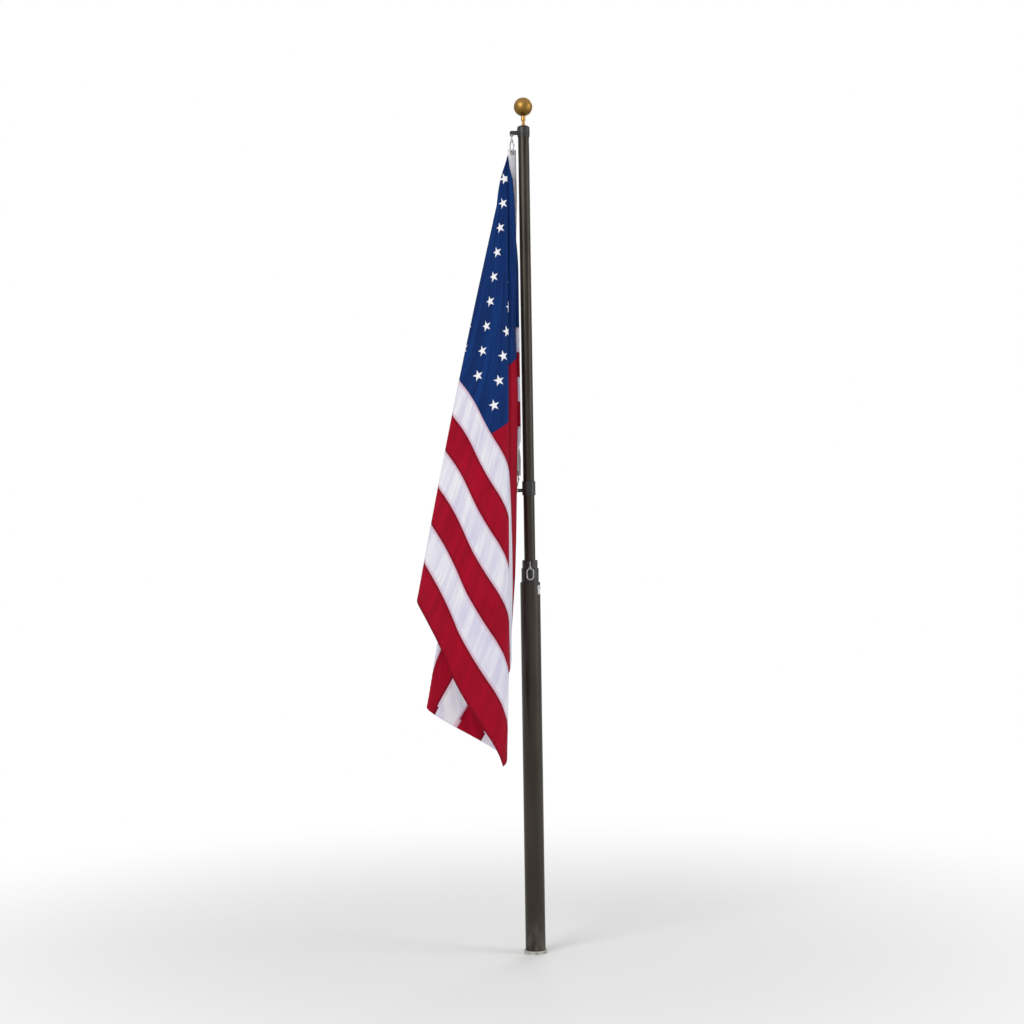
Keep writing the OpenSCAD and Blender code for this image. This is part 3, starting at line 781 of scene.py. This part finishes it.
    def hang(self, u: np.ndarray, v: np.ndarray) -> np.ndarray:
        """Carry flat points to where they hang.

        Args:
            u: distances from the seam along the fly, in millimetres.
            v: distances down from the top edge, in millimetres.

        Returns:
            One row of X, Y and Z a point, in millimetres.
        """
        r = np.maximum(np.hypot(u, v), 1e-6)
        t = np.degrees(np.arctan2(v, u))
        width = np.interp(self.gather / r, self.widths, np.arange(len(self.widths)))
        level = np.minimum(width.astype(int), len(self.widths) - 2)
        share = (width - level)[:, None]
        place = np.clip(self._fold_place(r, t) / self.step, 0, len(self.angles) - 1.001)
        cell = place.astype(int)
        part = (place - cell)[:, None]
        near = self.leans[level, cell] * (1 - part) + self.leans[level, cell + 1] * part
        wide = self.leans[level + 1, cell] * (1 - part) + self.leans[level + 1, cell + 1] * part
        lean = near * (1 - share) + wide * share
        lean[:, 0] += (r / 1000.0 - self.tuck_middle) * np.interp(t, *np.array(self.tuck).T)
        x, y = np.sin(np.radians(lean)).T
        z = -np.sqrt(1 - x * x - y * y)
        by_top = ramp(t, *self.top_angles)
        by_seam = ramp(t, *self.seam_angles)
        push = np.interp(r, *np.array(self.top_push).T)
        slack = np.interp(r, *np.array(self.top_slack).T)
        along_seam = self.seam_path(r)
        tail = self.tail * np.clip((r - self.tail_start) / self.tail_reach, 0.0, 2.0) ** 2
        bulge = self.bunch * np.sin(pi * np.clip(r / self.bunch_end, 0.0, 1.0))
        bulge *= np.clip(-lean[:, 0] / self.bunch_lean, 0.0, 1.0)
        return np.stack([
            self.apex[0] + x * r + push * by_top + along_seam[0] * by_seam - tail - bulge,
            self.apex[1] + y * r - self.top_front * push * by_top + along_seam[1] * by_seam,
            self.apex[2] + z * r + slack * by_top,
        ], 1)

    def seam_path(self, down: np.ndarray) -> tuple[np.ndarray, np.ndarray]:
        """How far the heading's seam stands off its straight line, along X and Y, at distances below its top end."""
        share = ramp(down, *self.seam_leaves) * ramp(self.hoist - down, *self.seam_returns)
        return self.seam_in * share, -self.seam_front * share


@dataclass
class Flag:
    """The limp flag: canton, stripes, stars, hems and heading, all hung by the same folds."""

    cloth: FoldedCloth = field(default_factory=FoldedCloth)
    canton_columns: int = 100
    fly_columns: int = 134
    rows_per_stripe: int = 12
    stripes: int = 13
    canton_stripes: int = 7
    thick: float = 0.5
    fine_reach: float = 200.0
    fine_cuts: int = 3
    star_rows: int = 9
    star_columns: int = 11
    star_pitch: float = 52.3
    star_points: int = 5
    star_radius: float = 17.0
    star_waist: float = 0.382
    star_raise: float = 0.7
    heading_width: float = 26.0
    heading_thick: float = 1.2
    heading_over: float = 14.5
    heading_turn: float = 30.0
    heading_cells: tuple[int, int] = (8, 156)
    fly_hem: float = 24.0
    edge_hem: float = 11.0
    hem_layers: float = 2.6

    def _flat_grid(self) -> bmesh.types.BMesh:
        """The whole field, flat, with its lines on the canton's and the stripes' edges.

        Returns:
            A bmesh whose X and Y are the flat distances in millimetres.
        """
        columns, rows = self.canton_columns + self.fly_columns, self.stripes * self.rows_per_stripe
        bm = bmesh.new()
        bmesh.ops.create_grid(bm, x_segments=columns, y_segments=rows, size=0.5)
        steps = [0, self.canton_columns, columns]
        edges = [0.0, self.cloth.canton, self.cloth.fly]
        for vert in bm.verts:
            across = np.interp((vert.co.x + 0.5) * columns, steps, edges)
            vert.co = (across, (0.5 - vert.co.y) * self.cloth.hoist, 0.0)
        return bm

    def _refine(self, bm: bmesh.types.BMesh) -> None:
        """Make a flat mesh finer by the hung corner, where the folds are narrow.

        Args:
            bm: a bmesh whose X and Y are flat distances in millimetres.
        """
        corner = [edge for edge in bm.edges if all(vert.co.length < self.fine_reach for vert in edge.verts)]
        if corner:
            bmesh.ops.subdivide_edges(bm, edges=corner, cuts=self.fine_cuts, use_grid_fill=True)

    def _lay_uv(self, bm: bmesh.types.BMesh, scale: float) -> None:
        """Keep the flat place of each corner as the UV map "flat".

        Args:
            bm: a bmesh whose X and Y are flat distances in millimetres.
            scale: what the distances in metres are divided by.
        """
        layer = bm.loops.layers.uv.new("flat")
        for face in bm.faces:
            for loop in face.loops:
                loop[layer].uv = (loop.vert.co.x * MM / scale, loop.vert.co.y * MM / scale)

    def _hang_mesh(self, bm: bmesh.types.BMesh) -> None:
        """Move a flat mesh to where the cloth hangs.

        Args:
            bm: a bmesh whose X and Y are flat distances in millimetres.
        """
        u, v = np.array([vert.co.xy for vert in bm.verts]).T
        for vert, place in zip(bm.verts, self.cloth.hang(u, v) * MM):
            vert.co = place

    def _thicken(self, piece: bpy.types.Object, thick: float, hem: bool = False) -> bpy.types.Object:
        """Give a hung sheet its thickness, half to each side.

        Args:
            piece: the sheet.
            thick: the thickness, in millimetres.
            hem: whether the sheet is folded double along the flag's free edges.

        Returns:
            The piece.
        """
        wall = piece.modifiers.new("thickness", "SOLIDIFY")
        wall.offset = 0.0
        wall.thickness = thick * MM
        if hem:
            group = piece.vertex_groups.new(name="hem")
            flat = {}
            for loop, uv in zip(piece.data.loops, piece.data.uv_layers["flat"].uv):
                flat[loop.vertex_index] = uv.vector * CLOTH_UV / MM
            inside = (self.fly_hem, self.edge_hem, self.edge_hem)
            reach = {i: (self.cloth.fly - at.x, at.y, self.cloth.hoist - at.y) for i, at in flat.items()}
            doubled = [i for i, edges in reach.items() if any(e < h for e, h in zip(edges, inside))]
            group.add(doubled, 1.0, "REPLACE")
            wall.vertex_group = group.name
            wall.thickness = thick * self.hem_layers * MM
            wall.thickness_vertex_group = 1.0 / self.hem_layers
        return piece

    def _panel(
        self, name: str, finish: Finish, keep: Callable[[float, float], bool]
    ) -> bpy.types.Object:
        """One colour of the field.

        Args:
            name: the piece's name.
            finish: its surface.
            keep: tells, from the flat middle of a face, whether the face is this colour's.

        Returns:
            The piece.
        """
        bm = self._flat_grid()
        away = [face for face in bm.faces if not keep(*face.calc_center_median().xy)]
        bmesh.ops.delete(bm, geom=away, context="FACES")
        self._refine(bm)
        self._lay_uv(bm, CLOTH_UV)
        self._hang_mesh(bm)
        return self._thicken(settle(name, bm, finish, Body.HARNESS, 180.0), self.thick, hem=True)

    def _in_canton(self, u: float, v: float) -> bool:
        """Whether a flat point is in the canton."""
        return u < self.cloth.canton and v < self.cloth.hoist * self.canton_stripes / self.stripes

    def _in_stripes(self, first: int) -> Callable[[float, float], bool]:
        """Every second stripe outside the canton; the turned-in fly hem sits a little low.

        Args:
            first: 0 for the stripes that start with the top one, 1 for the others.

        Returns:
            A test of whether a flat point is in those stripes.
        """
        stripe = self.cloth.hoist / self.stripes

        def keep(u: float, v: float) -> bool:
            """Whether a flat point is in those stripes."""
            slip = stripe / self.rows_per_stripe if u > self.cloth.fly - self.fly_hem else 0.0
            return not self._in_canton(u, v) and int(max(v - slip, 0.0) / stripe) % 2 == first

        return keep

    def _stars(self) -> bpy.types.Object:
        """The raised stars, in rows of six and five by turns.

        Returns:
            The piece.
        """
        bm = bmesh.new()
        pitch_v = self.cloth.hoist * self.canton_stripes / self.stripes / (self.star_rows + 1)
        for row in range(self.star_rows):
            for column in range(row % 2, self.star_columns, 2):
                star = bmesh.ops.create_circle(
                    bm, cap_ends=True, cap_tris=True, segments=2 * self.star_points, radius=self.star_radius
                )["verts"]
                for vert in star:
                    if round(np.arctan2(vert.co.x, vert.co.y) / (pi / self.star_points)) % 2 == 0:
                        vert.co *= self.star_waist
                middle = Vector((self.star_pitch * (column + 1), pitch_v * (row + 1), 0.0))
                bmesh.ops.translate(bm, verts=star, vec=middle)
        bmesh.ops.subdivide_edges(bm, edges=bm.edges[:], cuts=self.fine_cuts, use_grid_fill=True)
        self._refine(bm)
        self._lay_uv(bm, CLOTH_UV)
        self._hang_mesh(bm)
        stars = settle("flag_stars", bm, STAR, Body.HARNESS, 60.0)
        return self._thicken(stars, self.thick + self.star_raise)

    def _heading(self) -> bpy.types.Object:
        """The canvas heading: a ribbon that faces the viewer at both grommets and turns edge-on between them.

        Returns:
            The piece.
        """
        length = self.cloth.hoist + self.heading_over
        bm = bmesh.new()
        bmesh.ops.create_grid(bm, x_segments=self.heading_cells[0], y_segments=self.heading_cells[1], size=0.5)
        for vert in bm.verts:
            vert.co = (vert.co.x * self.heading_width, (0.5 - vert.co.y) * length, 0.0)
        self._lay_uv(bm, 1.0)
        apex = np.array(self.cloth.apex)
        for vert in bm.verts:
            down = vert.co.y - self.heading_over
            push_x, push_y = self.cloth.seam_path(np.array(max(down, 0.0)))
            share = float(push_x) / self.cloth.seam_in
            turn = radians(self.heading_turn + self.cloth.seam_turn * share)
            reach = vert.co.x + self.heading_width / 2
            vert.co = Vector((
                apex[0] + float(push_x) + cos(turn) * reach,
                apex[1] + float(push_y) + sin(turn) * reach,
                apex[2] - down,
            )) * MM
        heading = settle("heading_canvas", bm, CANVAS, Body.HARNESS, 50.0)
        return self._thicken(heading, self.heading_thick)

    def build(self) -> None:
        canton = self._panel("canton_cloth", NAVY, self._in_canton)
        red = self._panel("red_stripe_cloth", RED, self._in_stripes(0))
        white = self._panel("white_stripe_cloth", WHITE, self._in_stripes(1))
        stars = self._stars()
        heading = self._heading()
        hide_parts("flag_canton", "flag_corner")
        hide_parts("flag_red_stripes")
        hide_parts("flag_white_stripes")
        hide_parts("flag_header")


def lathe(bm: bmesh.types.BMesh, profile: Profile, steps: int = 32) -> list[bmesh.types.BMVert]:
    """Turn a profile about the Z axis.

    Args:
        bm: the bmesh that gets the shape.
        profile: radius and height of each corner, in millimetres, from the lowest outwards and up.
        steps: facets round the axis.

    Returns:
        The shape's vertices.
    """
    known = set(bm.verts)
    corners = [bm.verts.new(Vector((radius, 0.0, height)) * MM) for radius, height in profile]
    edges = [bm.edges.new(pair) for pair in zip(corners, corners[1:])]
    bmesh.ops.spin(
        bm, geom=corners + edges, cent=(0, 0, 0), axis=(0, 0, 1), angle=2 * pi, steps=steps, use_merge=True
    )
    made = [vert for vert in bm.verts if vert not in known]
    bmesh.ops.remove_doubles(bm, verts=made, dist=1e-7)
    made = [vert for vert in bm.verts if vert not in known]
    bmesh.ops.recalc_face_normals(bm, faces=list({face for vert in made for face in vert.link_faces}))
    return made


@dataclass
class SnapTrim:
    """What is added to one snap hook: swivel barrel, thumb stud, its gate's rolled ends and its sprung tongue.

    Lengths are in millimetres, from the eye that the hook hangs by.
    """

    name: str
    body: Body
    place: Matrix
    stud_turn: float
    barrel: Profile = (
        (0.0, -20.6), (2.9, -20.6), (3.7, -19.8), (3.7, -18.6), (3.1, -18.0), (3.1, -17.0), (3.8, -16.4),
        (3.8, -14.4), (3.0, -13.2), (1.9, -12.7), (0.0, -12.7),
    )
    side: float = 9.0
    roll: Profile = ((1.6, -1.1), (2.15, -0.8), (2.15, 0.8), (1.6, 1.1))
    rolls_z: Pair = (-41.0, -29.5)
    stud: Profile = (
        (0.0, 0.0), (1.3, 0.0), (1.3, 3.0), (2.3, 3.5), (2.5, 4.3), (2.0, 5.2), (0.9, 5.7), (0.0, 5.8),
    )
    stud_z: float = -33.5
    bow_z: float = -29.0
    bow_radius: float = 1.55
    bow_sweep: float = 62.0

    def _bow(self, bm: bmesh.types.BMesh) -> None:
        """Bend the gate's sprung tongue over to the hook's nose, so that the loop is closed.

        Args:
            bm: the bmesh that gets the tongue.
        """
        rim = bmesh.ops.create_circle(bm, segments=16, radius=self.bow_radius * MM)["verts"]
        bmesh.ops.translate(bm, verts=rim, vec=Vector((self.side, 0.0, self.bow_z)) * MM)
        known = set(bm.verts) - set(rim)
        edges = list({edge for vert in rim for edge in vert.link_edges})
        bmesh.ops.spin(
            bm, geom=rim + edges, cent=Vector((0.0, 0.0, self.bow_z)) * MM, axis=(0, -1, 0),
            angle=radians(self.bow_sweep), steps=10, use_merge=False,
        )
        made = [vert for vert in bm.verts if vert not in known]
        rims = list({edge for vert in made for edge in vert.link_edges if edge.is_boundary})
        bmesh.ops.holes_fill(bm, edges=rims, sides=0)
        bmesh.ops.recalc_face_normals(bm, faces=list({face for vert in made for face in vert.link_faces}))

    def build(self) -> None:
        """Turn the pieces and set them on the hook."""
        bm = bmesh.new()
        self._bow(bm)
        lathe(bm, self.barrel)
        for height in self.rolls_z:
            ring = lathe(bm, self.roll, 20)
            bmesh.ops.translate(bm, verts=ring, vec=Vector((self.side, 0.0, height)) * MM)
        stud = lathe(bm, self.stud, 20)
        aim = Matrix.Rotation(radians(self.stud_turn), 3, "Z") @ Matrix.Rotation(pi / 2, 3, "Y")
        bmesh.ops.rotate(bm, verts=stud, cent=(0, 0, 0), matrix=aim)
        bmesh.ops.translate(bm, verts=stud, vec=Vector((self.side, 0.0, self.stud_z)) * MM)
        bmesh.ops.transform(bm, matrix=self.place, verts=bm.verts[:])
        settle(self.name, bm, STEEL, self.body)


@dataclass
class LockButton:
    """Domed spring button that pins the base tube's collar, in a rolled rim."""

    turn: float = -32.0
    height: float = 1046.0
    radius: float = 28.575
    dome: Profile = ((0.0, 2.0), (4.4, 2.0), (4.4, 3.2), (4.0, 4.0), (3.0, 4.7), (1.6, 5.1), (0.0, 5.2))
    rim: Profile = ((4.8, -0.6), (7.2, -0.6), (7.2, 0.5), (6.6, 1.0), (5.4, 1.0), (4.8, 0.5))

    def build(self) -> None:
        """Turn the dome and the rim and set them on the tube."""
        bm = bmesh.new()
        for profile in (self.dome, self.rim):
            lathe(bm, profile, 28)
        bmesh.ops.rotate(bm, verts=bm.verts[:], cent=(0, 0, 0), matrix=Matrix.Rotation(pi / 2, 3, "Y"))
        bmesh.ops.translate(bm, verts=bm.verts[:], vec=Vector((self.radius, 0.0, self.height)) * MM)
        bmesh.ops.rotate(
            bm, verts=bm.verts[:], cent=(0, 0, 0), matrix=Matrix.Rotation(radians(self.turn), 3, "Z")
        )
        settle("lock_button_dome", bm, SATIN, Body.POLE_BASE)


@dataclass
class BaseLabel:
    """The blank label near the top of the base tube; its start is an angle from the front."""

    radius: float = 28.75
    low: float = 1026.0
    high: float = 1052.0
    start: float = 48.0
    sweep: float = 62.0
    thick: float = 0.25

    def build(self) -> None:
        """Spin the label round the tube."""
        bm = bmesh.new()
        turn = radians(self.start - 90.0)
        ends = [
            bm.verts.new(Vector((cos(turn) * self.radius, sin(turn) * self.radius, z)) * MM)
            for z in (self.low, self.high)
        ]
        edge = bm.edges.new(ends)
        bmesh.ops.spin(
            bm, geom=[edge, *ends], cent=(0, 0, 0), axis=(0, 0, 1), angle=radians(self.sweep), steps=24,
            use_merge=False,
        )
        bmesh.ops.recalc_face_normals(bm, faces=bm.faces[:])
        label = settle("bare_label", bm, LABEL, Body.POLE_BASE)
        wall = label.modifiers.new("thickness", "SOLIDIFY")
        wall.offset = 0.0
        wall.thickness = self.thick * MM


@dataclass
class Studio:
    """Floor, lamps, world and camera."""

    eye: Triple = (-0.049, -6.0, 1.31)
    middle: Triple = (0.0, 0.0, 1.2)
    pitch: float = 0.46
    roll: float = 0.86
    focal: float = 2100.0
    image: float = 1024.0
    sensor: float = 36.0
    floor_radius: float = 15.0
    ambient: float = 0.5

    def camera(self) -> None:
        """Set the camera where the photograph was taken from."""
        data = bpy.data.cameras.new("photo_camera")
        data.sensor_width = self.sensor
        data.lens = self.focal / self.image * self.sensor
        camera = bpy.data.objects.new("photo_camera", data)
        camera.matrix_world = (
            Matrix.Translation(self.eye)
            @ Matrix.Rotation(radians(90.0 - self.pitch), 4, "X")
            @ Matrix.Rotation(radians(-self.roll), 4, "Z")
        )
        bpy.context.scene.collection.objects.link(camera)
        bpy.context.scene.camera = camera

    def floor(self) -> None:
        """Lay the floor."""
        bm = bmesh.new()
        bmesh.ops.create_circle(bm, cap_ends=True, segments=64, radius=self.floor_radius)
        mesh = bpy.data.meshes.new("studio_floor")
        bm.to_mesh(mesh)
        bm.free()
        floor = bpy.data.objects.new("studio_floor", mesh)
        mesh.materials.append(FLOOR.material())
        bpy.context.scene.collection.objects.link(floor)

    def lamp(self, name: str, place: Triple, size: Pair, power: float, tint: Color) -> None:
        """Hang one soft lamp that faces the pole's middle.

        Args:
            name: the lamp's name.
            place: where it hangs, in metres.
            size: its width and height.
            power: its strength in watts.
            tint: its colour.
        """
        data = bpy.data.lights.new(name, "AREA")
        data.shape = "RECTANGLE"
        data.size, data.size_y = size
        data.energy = power
        data.color = tint
        lamp = bpy.data.objects.new(name, data)
        lamp.location = place
        aim = Vector(self.middle) - Vector(place)
        lamp.rotation_euler = aim.to_track_quat("-Z", "Y").to_euler()
        bpy.context.scene.collection.objects.link(lamp)

    def world(self) -> None:
        """A white surround for the camera, and a softer one for light and for reflections."""
        world = bpy.data.worlds.new("studio_world")
        bpy.context.scene.world = world
        world.use_nodes = True
        world.node_tree.nodes.clear()
        graph = Graph(world.node_tree)
        path = graph.node("ShaderNodeLightPath").outputs
        direct = graph.times(path["Is Camera Ray"], 1.0 - self.ambient)
        strength = graph.plus(self.ambient, direct)
        sky = graph.node("ShaderNodeBackground", {"Color": (1.0, 1.0, 1.0), "Strength": strength})
        graph.node("ShaderNodeOutputWorld", {"Surface": sky})

    def build(self) -> None:
        """Set up the studio."""
        bpy.context.scene.view_settings.view_transform = "Standard"
        self.camera()
        self.floor()
        self.world()
        self.lamp("key_lamp", (-2.6, -3.6, 3.6), (2.4, 2.4), 105.0, (1.0, 0.99, 0.97))
        self.lamp("fill_lamp", (4.2, -1.3, 2.2), (2.0, 3.0), 60.0, (0.97, 0.99, 1.0))
        self.lamp("back_lamp", (0.8, 3.6, 3.2), (2.4, 2.0), 50.0, (1.0, 1.0, 1.0))


def main() -> None:
    """Build the studio and every piece, in order."""
    logging.basicConfig(level=logging.INFO, format="%(name)s: %(message)s")
    Studio().build()
    Fittings({
        "top_grommet": EYELET, "bottom_grommet": EYELET, "spare_eye": TRIM, "base_lock_button": SATIN,
    }).dress()
    Flag().build()
    for name, body, eye, turn, tip, stud_turn in (
        ("spare_snap_trim", Body.SPARE_HOOK, (0.0, -32.85, 1120.2), 0.0, 0.0, -90.0),
        ("top_snap_trim", Body.HARNESS, (-34.0, 0.0, 2338.4), -60.0, 0.0, 0.0),
        ("lower_snap_trim", Body.HARNESS, (-34.0, 0.0, 1322.2), 120.0, 180.0, 0.0),
    ):
        place = Matrix.Translation(Vector(eye) * MM) @ Matrix.Rotation(radians(turn), 4, "Z")
        SnapTrim(name, body, place @ Matrix.Rotation(radians(tip), 4, "Y"), stud_turn).build()
    LockButton().build()
    BaseLabel().build()


if __name__ == "__main__":
    main()
